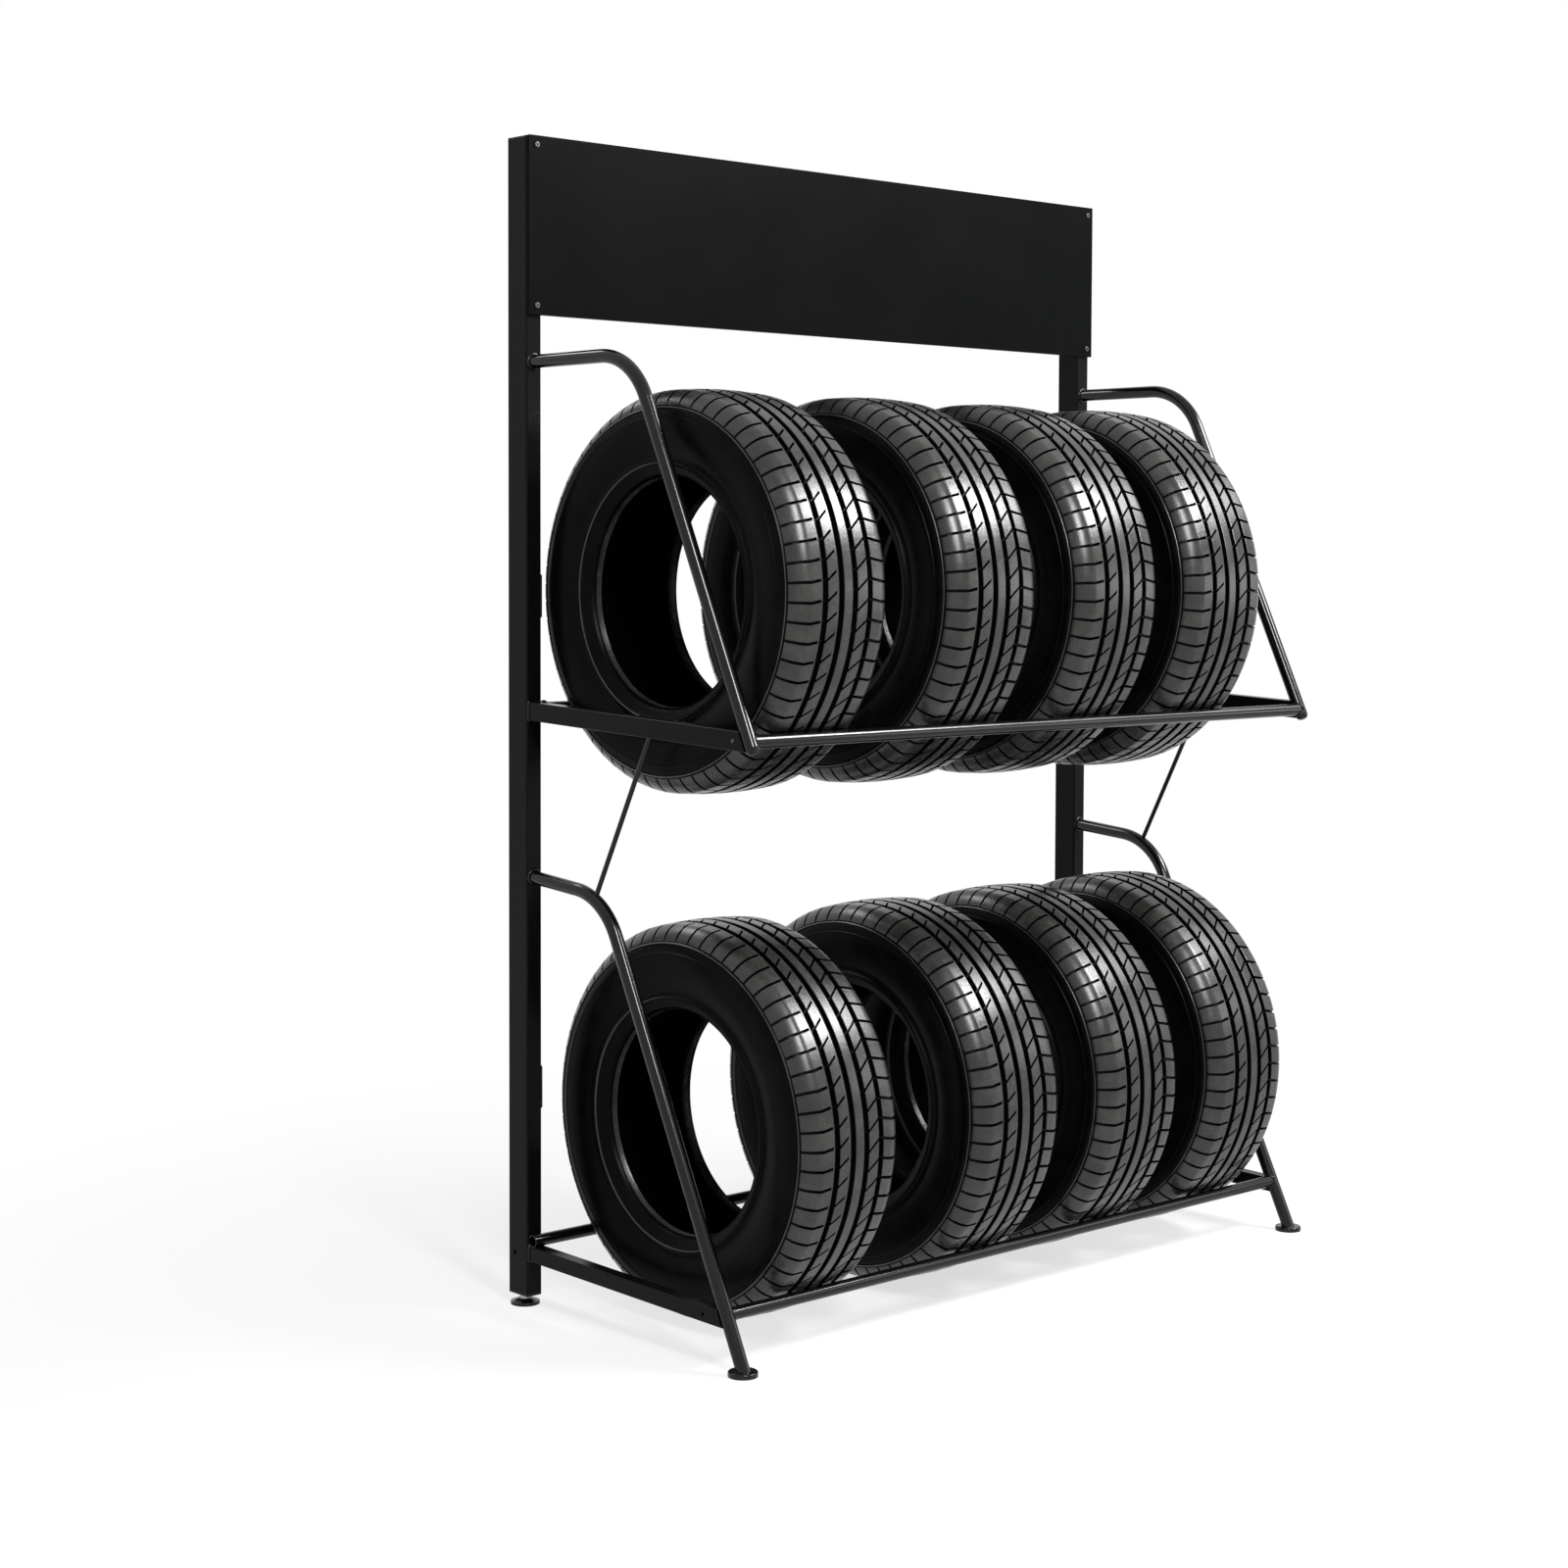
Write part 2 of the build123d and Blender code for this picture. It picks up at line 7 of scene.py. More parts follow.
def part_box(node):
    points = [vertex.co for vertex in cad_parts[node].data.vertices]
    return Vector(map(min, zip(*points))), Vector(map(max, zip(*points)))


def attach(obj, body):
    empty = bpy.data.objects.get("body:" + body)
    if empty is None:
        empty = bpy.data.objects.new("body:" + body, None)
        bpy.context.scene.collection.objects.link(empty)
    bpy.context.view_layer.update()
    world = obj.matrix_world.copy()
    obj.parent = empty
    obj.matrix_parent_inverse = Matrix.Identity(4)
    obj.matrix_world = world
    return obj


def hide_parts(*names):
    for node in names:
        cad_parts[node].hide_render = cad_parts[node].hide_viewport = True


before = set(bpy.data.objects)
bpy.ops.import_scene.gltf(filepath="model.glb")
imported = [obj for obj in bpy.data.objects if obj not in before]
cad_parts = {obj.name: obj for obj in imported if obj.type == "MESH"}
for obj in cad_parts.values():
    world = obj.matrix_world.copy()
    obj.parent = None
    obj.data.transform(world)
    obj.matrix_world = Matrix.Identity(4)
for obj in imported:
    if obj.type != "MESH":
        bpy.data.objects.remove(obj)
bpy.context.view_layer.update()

bl_info = {
    "name": "Tyre storage rack",
    "version": (1, 0, 0),
    "blender": (4, 5, 0),
    "location": "View3D > Sidebar > Tyre rack",
    "description": "Dresses a two-level tyre rack: coated frame, weld seams, tyres and a stage",
    "category": "Object",
}

SIDES = (("left", -1), ("right", 1))
WHITE = (1, 1, 1, 1)


# ------------------------------------------------------------------ places read from the frame
def middle(node):
    low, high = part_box(node)
    return (low + high) / 2


def extent(node):
    low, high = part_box(node)
    return high - low


FRONT_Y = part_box("header_panel")[1].y
HOOP_X = abs(middle("upper_hoop_left").x)
HOOP_RADIUS = extent("upper_hoop_left").x / 2
# the way that a hoop's leg runs, from its bend down to the front rail
HOOP_LEAN = {"upper": Vector((0, -0.4223, -0.9065)), "lower": Vector((0, -0.4355, -0.9002))}
SIDE_RAIL_DEPTH = {"upper": 0.030, "lower": 0.025}
TYRES = sorted(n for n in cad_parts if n.startswith("tyre_"))
TYRE_SIZE = extent("tyre_upper_1")


# ------------------------------------------------------------------ settings
class RackFinish(bpy.types.PropertyGroup):
    coat_colour: bpy.props.FloatVectorProperty(
        name="Frame coat", description="Powder coat of the tubes",
        subtype="COLOR", size=3, min=0, max=1, default=(0.0022, 0.0025, 0.0024))
    header_colour: bpy.props.FloatVectorProperty(
        name="Header coat", description="Powder coat of the header panel",
        subtype="COLOR", size=3, min=0, max=1, default=(0.0022, 0.0025, 0.0024))
    plastic_colour: bpy.props.FloatVectorProperty(
        name="Feet and caps", description="Moulded plastic",
        subtype="COLOR", size=3, min=0, max=1, default=(0.0030, 0.0030, 0.0030))
    screw_colour: bpy.props.FloatVectorProperty(
        name="Screws and rivets", description="Blacked steel",
        subtype="COLOR", size=3, min=0, max=1, default=(0.02, 0.02, 0.021))
    buffer_colour: bpy.props.FloatVectorProperty(
        name="Buffers", description="Rubber of the buffer pads",
        subtype="COLOR", size=3, min=0, max=1, default=(0.012, 0.012, 0.012))
    grain_size: bpy.props.FloatProperty(
        name="Coat grain", description="Width of the coat's orange-peel cells",
        unit="LENGTH", default=0.0016)
    bead_radius: bpy.props.FloatProperty(
        name="Weld radius", description="Half the width of a weld seam",
        unit="LENGTH", default=0.0026)


class TyreSizes(bpy.types.PropertyGroup):
    radius: bpy.props.FloatProperty(
        name="Radius", description="Axle to the crown of the tread",
        unit="LENGTH", default=TYRE_SIZE.z / 2)
    half_width: bpy.props.FloatProperty(
        name="Half width", description="Middle to the widest part of a sidewall",
        unit="LENGTH", default=TYRE_SIZE.x / 2)
    bead: bpy.props.FloatProperty(
        name="Bead radius", description="Axle to the bead's toe", unit="LENGTH", default=0.178)
    groove_depth: bpy.props.FloatProperty(
        name="Groove depth", description="Depth of the four main grooves",
        unit="LENGTH", default=0.008)
    slot_depth: bpy.props.FloatProperty(
        name="Slot depth", description="Depth of the cross slots", unit="LENGTH", default=0.0065)
    slot_width: bpy.props.FloatProperty(
        name="Slot width", description="Width of the cross slots", unit="LENGTH", default=0.0048)
    crown_drop: bpy.props.FloatProperty(
        name="Crown drop", description="How far the crown falls to the tread's edge",
        unit="LENGTH", default=0.004)
    tread_half_width: bpy.props.FloatProperty(
        name="Tread half width", description="Middle to the edge of the tread",
        unit="LENGTH", default=0.076)
    # Near-black rubber; in the grooves and slot floors it is painted shade.
    rubber_colour: bpy.props.FloatVectorProperty(
        name="Rubber", description="Colour of the sidewalls, grooves and lining",
        subtype="COLOR", size=3, min=0, max=1, default=(0.0012, 0.0012, 0.0012))
    # Also laid on the thin rings at the bead and the ridge at the shoulder, where it is a painted
    # highlight line.
    tread_colour: bpy.props.FloatVectorProperty(
        name="Tread rubber", description="Colour of the ribs' faces",
        subtype="COLOR", size=3, min=0, max=1, default=(0.014, 0.0145, 0.0132))
    rubbed_colour: bpy.props.FloatVectorProperty(
        name="Rubbed rubber", description="Colour of the tread where it has rubbed",
        subtype="COLOR", size=3, min=0, max=1, default=(0.062, 0.064, 0.058))


class StageLook(bpy.types.PropertyGroup):
    floor_colour: bpy.props.FloatVectorProperty(
        name="Floor", description="Colour of the floor",
        subtype="COLOR", size=3, min=0, max=1, default=(0.93, 0.93, 0.93))
    lens: bpy.props.FloatProperty(
        name="Lens", description="Focal length of the camera in mm", unit="CAMERA", default=62.71)
    key_power: bpy.props.FloatProperty(
        name="Key light", description="Power of the high soft light at the right front",
        unit="POWER", default=220.0)
    rail_power: bpy.props.FloatProperty(
        name="Rail light", description="Power of the high light further right, for the rails",
        unit="POWER", default=35.0)
    front_power: bpy.props.FloatProperty(
        name="Front light", description="Power of the tall light at the left front, for the hoops",
        unit="POWER", default=110.0)
    side_power: bpy.props.FloatProperty(
        name="Side light", description="Power of the low light at the right front",
        unit="POWER", default=9.0)
    rim_power: bpy.props.FloatProperty(
        name="Rim light", description="Power of the light above the back",
        unit="POWER", default=22.0)


# ------------------------------------------------------------------ small tools
def deselect():
    if bpy.context.object and bpy.context.object.mode != "OBJECT":
        bpy.ops.object.mode_set(mode="OBJECT")
    bpy.ops.object.select_all(action="DESELECT")


def select_only(obj):
    deselect()
    obj.select_set(True)
    bpy.context.view_layer.objects.active = obj


def apply_place(obj):
    """Moves the object's place into its mesh."""
    select_only(obj)
    bpy.ops.object.transform_apply(location=True, rotation=True, scale=True)


def apply_modifiers(obj):
    select_only(obj)
    for name in [m.name for m in obj.modifiers]:
        bpy.ops.object.modifier_apply(modifier=name)


def give(obj, *materials):
    obj.data.materials.clear()
    for material in materials:
        obj.data.materials.append(material)


def finish_node(node, material):
    """Assigns a material to a CAD node's own slots."""
    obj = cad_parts[node]
    if not obj.material_slots:
        obj.data.materials.append(material)
    for slot in obj.material_slots:
        slot.material = material


# ------------------------------------------------------------------ shader groups
def new_group(name, inputs, outputs):
    group = bpy.data.node_groups.new(name, "ShaderNodeTree")
    for title, kind, value in inputs:
        socket = group.interface.new_socket(title, in_out="INPUT", socket_type=kind)
        socket.default_value = value
    for title, kind in outputs:
        group.interface.new_socket(title, in_out="OUTPUT", socket_type=kind)
    return group, group.nodes.new("NodeGroupInput"), group.nodes.new("NodeGroupOutput")


def math_node(tree, kind, a, b=None, clamp=False):
    node = tree.nodes.new("ShaderNodeMath")
    node.operation = kind
    node.use_clamp = clamp
    for socket, value in zip(node.inputs, (a, b)):
        if value is None:
            continue
        if isinstance(value, (int, float)):
            socket.default_value = value
        else:
            tree.links.new(value, socket)
    return node.outputs[0]


def noise(tree, vector, scale, detail=2.0, rough=0.5):
    node = tree.nodes.new("ShaderNodeTexNoise")
    tree.links.new(vector, node.inputs["Vector"])
    if isinstance(scale, (int, float)):
        node.inputs["Scale"].default_value = scale
    else:
        tree.links.new(scale, node.inputs["Scale"])
    node.inputs["Detail"].default_value = detail
    node.inputs["Roughness"].default_value = rough
    return node.outputs["Fac"]


def above(tree, value, threshold, contrast):
    """Mask of where the value is over the threshold, sharper with more contrast."""
    return math_node(tree, "MULTIPLY", math_node(tree, "SUBTRACT", value, threshold), contrast,
                     clamp=True)


def colour_mix(tree, mask, first, second):
    mix = tree.nodes.new("ShaderNodeMix")
    mix.data_type = "RGBA"
    tree.links.new(mask, mix.inputs["Factor"])
    tree.links.new(first, mix.inputs["A"])
    if isinstance(second, tuple):
        mix.inputs["B"].default_value = second
    else:
        tree.links.new(second, mix.inputs["B"])
    return mix.outputs["Result"]


def coat_group():
    """Sprayed coat: fine cells, slow waviness, a little dust."""
    dust_colour = (0.05, 0.05, 0.049, 1)
    dust_threshold, dust_contrast, dust_roughness = 0.52, 5.0, 0.25
    wave_middle, wave_roughness, wave_height = 0.5, 0.16, 2.0
    group, start, end = new_group(
        "Sprayed coat",
        [("Vector", "NodeSocketVector", (0, 0, 0)),
         ("Colour", "NodeSocketColor", (0.01, 0.01, 0.01, 1)),
         ("Cells", "NodeSocketFloat", 600.0), ("Roughness", "NodeSocketFloat", 0.25),
         ("Dust", "NodeSocketFloat", 0.3)],
        [("Colour", "NodeSocketColor"), ("Roughness", "NodeSocketFloat"),
         ("Height", "NodeSocketFloat")])
    vector, colour, cells, rough, dust = (start.outputs[i] for i in range(5))
    fine = noise(group, vector, cells, detail=1.0)
    wave = noise(group, vector, scale=7.0)
    specks = noise(group, vector, scale=190.0, detail=3.0, rough=0.7)
    mask = above(group, specks, dust_threshold, dust_contrast)
    mask = math_node(group, "MULTIPLY", math_node(group, "MULTIPLY", mask, wave), dust)
    spread = math_node(group, "MULTIPLY", math_node(group, "SUBTRACT", wave, wave_middle),
                       wave_roughness)
    roughness = math_node(group, "ADD", math_node(group, "ADD", rough, spread),
                          math_node(group, "MULTIPLY", mask, dust_roughness))
    height = math_node(group, "ADD", fine, math_node(group, "MULTIPLY", wave, wave_height))
    group.links.new(colour_mix(group, mask, colour, dust_colour), end.inputs["Colour"])
    group.links.new(roughness, end.inputs["Roughness"])
    group.links.new(height, end.inputs["Height"])
    return group


def rubber_group():
    """Moulded rubber: matt grain and rubbed patches."""
    patch_threshold, patch_contrast = 0.42, 3.0
    cloud_middle, cloud_roughness = 0.5, 0.2
    group, start, end = new_group(
        "Moulded rubber",
        [("Vector", "NodeSocketVector", (0, 0, 0)),
         ("Colour", "NodeSocketColor", (0.01, 0.01, 0.01, 1)),
         ("Rubbed", "NodeSocketColor", (0.03, 0.03, 0.03, 1)),
         ("Bloom", "NodeSocketFloat", 0.3), ("Roughness", "NodeSocketFloat", 0.5)],
        [("Colour", "NodeSocketColor"), ("Roughness", "NodeSocketFloat"),
         ("Height", "NodeSocketFloat")])
    vector, colour, lighter_rubber, bloom, rough = (start.outputs[i] for i in range(5))
    cloud = noise(group, vector, scale=22.0, detail=6.0, rough=0.7)
    grain = noise(group, vector, scale=850.0, detail=2.0, rough=0.6)
    mask = math_node(group, "MULTIPLY", above(group, cloud, patch_threshold, patch_contrast), bloom)
    spread = math_node(group, "MULTIPLY", math_node(group, "SUBTRACT", cloud, cloud_middle),
                       cloud_roughness)
    group.links.new(colour_mix(group, mask, colour, lighter_rubber), end.inputs["Colour"])
    group.links.new(math_node(group, "ADD", rough, spread), end.inputs["Roughness"])
    group.links.new(grain, end.inputs["Height"])
    return group


# ------------------------------------------------------------------ materials
def new_material(name):
    material = bpy.data.materials.new(name)
    material.use_nodes = True
    tree = material.node_tree
    return material, tree, tree.nodes["Principled BSDF"], tree.nodes.new("ShaderNodeTexCoord")


def add_bump(tree, shader, height, depth):
    bump = tree.nodes.new("ShaderNodeBump")
    bump.inputs["Strength"].default_value = 1.0
    bump.inputs["Distance"].default_value = depth
    tree.links.new(height, bump.inputs["Height"])
    tree.links.new(bump.outputs["Normal"], shader.inputs["Normal"])


def group_node(tree, shader, coords, group, values):
    """Puts the group in the tree, and its colour and roughness on the shader."""
    node = tree.nodes.new("ShaderNodeGroup")
    node.node_tree = group
    tree.links.new(coords.outputs["Object"], node.inputs["Vector"])
    for title, value in values.items():
        node.inputs[title].default_value = value
    tree.links.new(node.outputs["Colour"], shader.inputs["Base Color"])
    tree.links.new(node.outputs["Roughness"], shader.inputs["Roughness"])
    return node


def grouped_material(name, group, values, depth, specular):
    material, tree, shader, coords = new_material(name)
    node = group_node(tree, shader, coords, group, values)
    shader.inputs["Specular IOR Level"].default_value = specular
    add_bump(tree, shader, node.outputs["Height"], depth)
    return material


def zinc_material():
    dark, pale = (0.30, 0.30, 0.31, 1), (0.62, 0.62, 0.60, 1)
    roughness_shift, spangle_depth = -0.12, 0.00005
    material, tree, shader, coords = new_material("zinc_plate")
    link = tree.links.new
    spangle = tree.nodes.new("ShaderNodeTexVoronoi")
    spangle.inputs["Scale"].default_value = 420.0
    link(coords.outputs["Object"], spangle.inputs["Vector"])
    ramp = tree.nodes.new("ShaderNodeValToRGB")
    ramp.color_ramp.elements[0].color = dark
    ramp.color_ramp.elements[1].color = pale
    link(spangle.outputs["Distance"], ramp.inputs["Fac"])
    link(ramp.outputs["Color"], shader.inputs["Base Color"])
    shader.inputs["Metallic"].default_value = 1.0
    roughness = noise(tree, coords.outputs["Object"], scale=60.0)
    link(math_node(tree, "ADD", roughness, roughness_shift), shader.inputs["Roughness"])
    add_bump(tree, shader, spangle.outputs["Distance"], spangle_depth)
    return material


# A tyre's skins, in the order of their slots: how much they bloom, roughness and specular level
TYRE_SKINS = {
    "tread": (0.45, 0.26, 0.42),
    "sidewall": (0.03, 0.30, 0.04),
    "liner": (0.0, 0.5, 0.04),
}
# The sidewall skin also darkens the grooves and slot floors as painted shade, and the tread skin
# lightens the thin rings at the bead and the ridge at the shoulder as a painted highlight line.
TREAD_AND_HIGHLIGHT, SIDEWALL_AND_SHADE, LINER = range(3)
TYRE_MAP = "Round and across"


def tread_marks(tree, around, across):
    """Thin sipes between the slots, and faint mould lines along the ribs."""
    sipe_spacing, sipe_half_width, sipe_edge, sipe_share = 0.00517, 0.0006, 1500.0, 0.5
    line_spacing, line_slope = 0.0011, 120.0
    sipes = math_node(tree, "SUBTRACT", sipe_half_width,
                      math_node(tree, "PINGPONG", around, sipe_spacing))
    sipes = math_node(tree, "MULTIPLY", sipes, sipe_edge, clamp=True)
    lines = math_node(tree, "MULTIPLY",
                      math_node(tree, "PINGPONG", across, line_spacing), line_slope)
    return math_node(tree, "SUBTRACT", lines, math_node(tree, "MULTIPLY", sipes, sipe_share))


def side_marks(tree, around, across):
    """Fine concentric mould lines, with a band of radial ticks."""
    spacing, line_slope, tick_slope = 0.0016, 160.0, 320.0
    band_fold, band_place, band_half_width = 0.2, 0.055, 0.008
    lines = math_node(tree, "MULTIPLY", math_node(tree, "PINGPONG", across, spacing), line_slope)
    ticks = math_node(tree, "MULTIPLY", math_node(tree, "PINGPONG", around, spacing), tick_slope)
    away = math_node(tree, "SUBTRACT", math_node(tree, "PINGPONG", across, band_fold), band_place)
    band = math_node(tree, "LESS_THAN", math_node(tree, "ABSOLUTE", away), band_half_width)
    return math_node(tree, "ADD", lines, math_node(tree, "MULTIPLY", ticks, band))


def tyre_material(group, sizes, part):
    """Rubber whose fine marks follow the tyre's map: metres round it and across its section."""
    mark_height, mark_depth = 0.6, 0.00012
    bloom, rough, specular = TYRE_SKINS[part]
    colour = sizes.tread_colour if part == "tread" else sizes.rubber_colour
    material, tree, shader, coords = new_material(f"tyre_{part}")
    node = group_node(tree, shader, coords, group, {
        "Colour": (*colour, 1), "Rubbed": (*sizes.rubbed_colour, 1), "Bloom": bloom,
        "Roughness": rough})
    shader.inputs["Specular IOR Level"].default_value = specular
    uv = tree.nodes.new("ShaderNodeUVMap")
    uv.uv_map = TYRE_MAP
    split = tree.nodes.new("ShaderNodeSeparateXYZ")
    tree.links.new(uv.outputs["UV"], split.inputs["Vector"])
    draw_marks = tread_marks if part == "tread" else side_marks
    marks = draw_marks(tree, split.outputs["X"], split.outputs["Y"])
    height = math_node(tree, "ADD", math_node(tree, "MULTIPLY", marks, mark_height),
                       node.outputs["Height"])
    add_bump(tree, shader, height, mark_depth)
    return material


# ------------------------------------------------------------------ frame
# Sprayed and moulded finishes: the setting with their colour, how much finer than the coat's grain
# they are, roughness, dust, depth of the bump and specular level
COATS = {
    "coated_tube": ("coat_colour", 1.0, 0.16, 0.03, 0.00002, 0.28),
    "coated_box_tube": ("coat_colour", 1.0, 0.24, 0.05, 0.00003, 0.08),
    "coated_panel": ("header_colour", 0.8, 0.34, 0.02, 0.00005, 0.02),
    "moulded_plastic": ("plastic_colour", 3.0, 0.22, 0.15, 0.00002, 0.25),
    "blacked_steel": ("screw_colour", 2.0, 0.30, 0.5, 0.00003, 0.6),
}
# The finish of the nodes with these words in their names; the others are round tubes
NODE_FINISHES = (
    ("header_panel", "coated_panel"), ("upright", "coated_box_tube"),
    ("side_rail", "coated_box_tube"), ("top_cap", "moulded_plastic"),
    ("foot_socket", "moulded_plastic"),
    ("levelling_pad", "moulded_plastic"), ("front_glide", "moulded_plastic"),
    ("header_screws", "blacked_steel"), ("rail_rivet", "blacked_steel"),
    ("buffer", "buffer_rubber"), ("levelling_stud", "zinc_plate"))


class RACK_OT_finish_frame(bpy.types.Operator):
    """Give every steel, plastic and rubber piece of the frame its finish"""
    bl_idname = "rack.finish_frame"
    bl_label = "Finish the frame"

    def execute(self, context):
        look = context.scene.rack_finish
        coat = coat_group()
        finishes = {"zinc_plate": zinc_material()}
        cells = 1.0 / look.grain_size
        for name, (colour, fineness, rough, dust, depth, specular) in COATS.items():
            finishes[name] = grouped_material(name, coat, {
                "Colour": (*getattr(look, colour), 1), "Cells": cells * fineness,
                "Roughness": rough, "Dust": dust}, depth, specular)
        finishes["buffer_rubber"] = grouped_material("buffer_rubber", rubber_group(), {
            "Colour": (*look.buffer_colour, 1), "Bloom": 0.4, "Roughness": 0.62},
            depth=0.00008, specular=0.3)
        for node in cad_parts:
            if node not in TYRES:
                finish = next((finish for word, finish in NODE_FINISHES if word in node),
                              "coated_tube")
                finish_node(node, finishes[finish])
        return {"FINISHED"}


# ------------------------------------------------------------------ weld seams
SEAM_RIPPLE = 0.80  # width of a seam's narrow places against its wide ones
SEAM_STEP = 0.0028  # spacing of the ripples round a box tube
RING_COUNT = 36
RAIL_COUNT = 32
# How far a seam's middle lies in or out of the face it is laid on, as shares of its radius
HOOP_SINK, HOOP_LIFT, BOX_SINK, REAR_LIFT = 0.2, 0.35, 0.1, 0.3
SADDLE_LIFT = 1.02  # of the rail's radius
SADDLE_REACH = 0.98  # of the hoop's radius


def weld_seam(name, points, radius):
    """A closed, rippled seam, made from a path whose points swell and shrink in turn."""
    deselect()
    bpy.ops.curve.primitive_nurbs_path_add(location=(0, 0, 0))
    obj = bpy.context.object
    obj.name = name
    curve = obj.data
    curve.splines.clear()
    spline = curve.splines.new("POLY")
    spline.points.add(len(points) - 1)
    for i, (point, place) in enumerate(zip(spline.points, points)):
        point.co = (*place, 1)
        point.radius = 1.0 if i % 2 else SEAM_RIPPLE
    spline.use_cyclic_u = True
    curve.dimensions = "3D"
    curve.bevel_depth = radius
    curve.bevel_resolution = 2
    select_only(obj)
    bpy.ops.object.convert(target="MESH")
    obj = bpy.context.object
    bpy.ops.object.shade_smooth()
    apply_place(obj)
    return obj


def ring_points(centre, across, up, radius, count):
    step = math.tau / count
    return [centre + across * (radius * math.cos(i * step)) + up * (radius * math.sin(i * step))
            for i in range(count)]


def box_points(low, high, y, step):
    """Points round a rectangle in a plane across Y."""
    corners = [Vector((low.x, y, low.z)), Vector((high.x, y, low.z)),
               Vector((high.x, y, high.z)), Vector((low.x, y, high.z))]
    points = []
    for start, end in zip(corners, corners[1:] + corners[:1]):
        count = max(2, round((end - start).length / step))
        points += [start.lerp(end, i / count) for i in range(count)]
    return points


def saddle_points(level, sign, count):
    """Points where a front rail's end meets a hoop's leg."""
    rail = f"{level}_front_rail"
    centre = middle(rail)
    rail_radius = extent(rail).z / 2
    square = Vector((0, HOOP_LEAN[level].z, -HOOP_LEAN[level].y))
    points = []
    for i in range(count):
        turn = math.tau * i / count
        arm = Vector((0, math.cos(turn), math.sin(turn))) * rail_radius
        off = min(abs(arm.dot(square)), HOOP_RADIUS * SADDLE_REACH)
        inward = math.sqrt(HOOP_RADIUS ** 2 - off ** 2)
        end = Vector((sign * (HOOP_X - inward), centre.y, centre.z))
        points.append(end + arm * SADDLE_LIFT)
    return points


def side_seams(side, sign, radius):
    """Names and points of the seams at one end of the rack."""
    x_way, y_way, z_way = Vector((1, 0, 0)), Vector((0, 1, 0)), Vector((0, 0, 1))
    seams = []
    low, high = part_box(f"weld_rings_{side}")
    collar = (high.x - low.x) / 2
    for level, root_z in (("upper", high.z - collar), ("lower", low.z + collar)):
        centre = Vector((sign * HOOP_X, FRONT_Y - radius * HOOP_SINK, root_z))
        seams.append((f"weld_{level}_hoop_{side}", ring_points(
            centre, x_way, z_way, HOOP_RADIUS + radius * HOOP_LIFT, RING_COUNT)))
        rail_low, rail_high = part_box(f"{level}_side_rail_{side}")
        rail_low = Vector((rail_low.x, 0, rail_high.z - SIDE_RAIL_DEPTH[level]))
        seams.append((f"weld_{level}_rail_{side}", box_points(
            rail_low, rail_high, FRONT_Y - radius * BOX_SINK, SEAM_STEP)))
        seams.append((f"weld_{level}_front_{side}", saddle_points(level, sign, RAIL_COUNT)))
    rear, rear_size = middle("upper_rear_rail"), extent("upper_rear_rail")
    end_x = sign * (rear_size.x / 2 - radius * BOX_SINK)
    seams.append((f"weld_upper_rear_{side}", ring_points(
        Vector((end_x, rear.y, rear.z)), y_way, z_way, rear_size.z / 2 + radius * REAR_LIFT,
        RAIL_COUNT)))
    return seams


class RACK_OT_weld_seams(bpy.types.Operator):
    """Lay the weld seams where tubes meet"""
    bl_idname = "rack.weld_seams"
    bl_label = "Weld the joints"

    def execute(self, context):
        radius = context.scene.rack_finish.bead_radius
        coat = bpy.data.materials["coated_tube"]
        for side, sign in SIDES:
            for name, points in side_seams(side, sign, radius):
                seam = weld_seam(name, points, radius)
                give(seam, coat)
                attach(seam, "frame")
                if "hoop" in name:
                    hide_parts(f"weld_rings_{side}")
        return {"FINISHED"}


# ------------------------------------------------------------------ tyres
TREAD_PITCHES = 64  # cross slots round a tyre
BLOCK_STEPS = 4  # facets round one tread block
TYRE_TURNS = (0.0, 1.9, 4.1, 0.7, 2.6, 5.2, 3.3, 1.2)  # how far each was rolled, in radians
# A tyre's side from the bead's toe out to the shoulder: (inset from the half width, rise above the
# bead, the cross slots' share of their full depth, whether the face takes the lighter tread rubber,
# which on the thin rings at the bead and the ridge at the shoulder is a painted highlight line)
TYRE_SIDE = (
    (0.0330, 0.0000, 0, True), (0.0240, 0.0012, 0, True), (0.0180, 0.0030, 0, False),
    (0.0142, 0.0062, 0, False), (0.0122, 0.0110, 0, False), (0.0106, 0.0160, 0, False),
    (0.0088, 0.0186, 0, False), (0.0060, 0.0205, 0, True), (0.0046, 0.0220, 0, True),
    (0.0052, 0.0244, 0, False), (0.0082, 0.0270, 0, False), (0.0090, 0.0300, 0, False),
    (0.0066, 0.0380, 0, False), (0.0032, 0.0500, 0, False), (0.0012, 0.0630, 0, False),
    (0.0004, 0.0760, 0, False), (0.0004, 0.0850, 0, False), (0.0010, 0.0902, 0, False),
    (0.0002, 0.0908, 0, False), (0.0004, 0.0922, 0, False), (0.0014, 0.0930, 0, False),
    (0.0028, 0.0990, 0, False), (0.0042, 0.1030, 0, False), (0.0058, 0.1050, 0, False),
    (0.0048, 0.1062, 0, True), (0.0046, 0.1074, 0, True), (0.0054, 0.1084, 0, True),
    (0.0074, 0.1092, 0, False), (0.0076, 0.1106, 0, True), (0.0098, 0.1150, 0.3, True),
    (0.0128, 0.1196, 0.4, True), (0.0164, 0.1238, 0.5, True), (0.0205, 0.1275, 0.7, True),
    (0.0250, 0.1307, 0.8, True), (0.0290, 0.1329, 0.9, True))
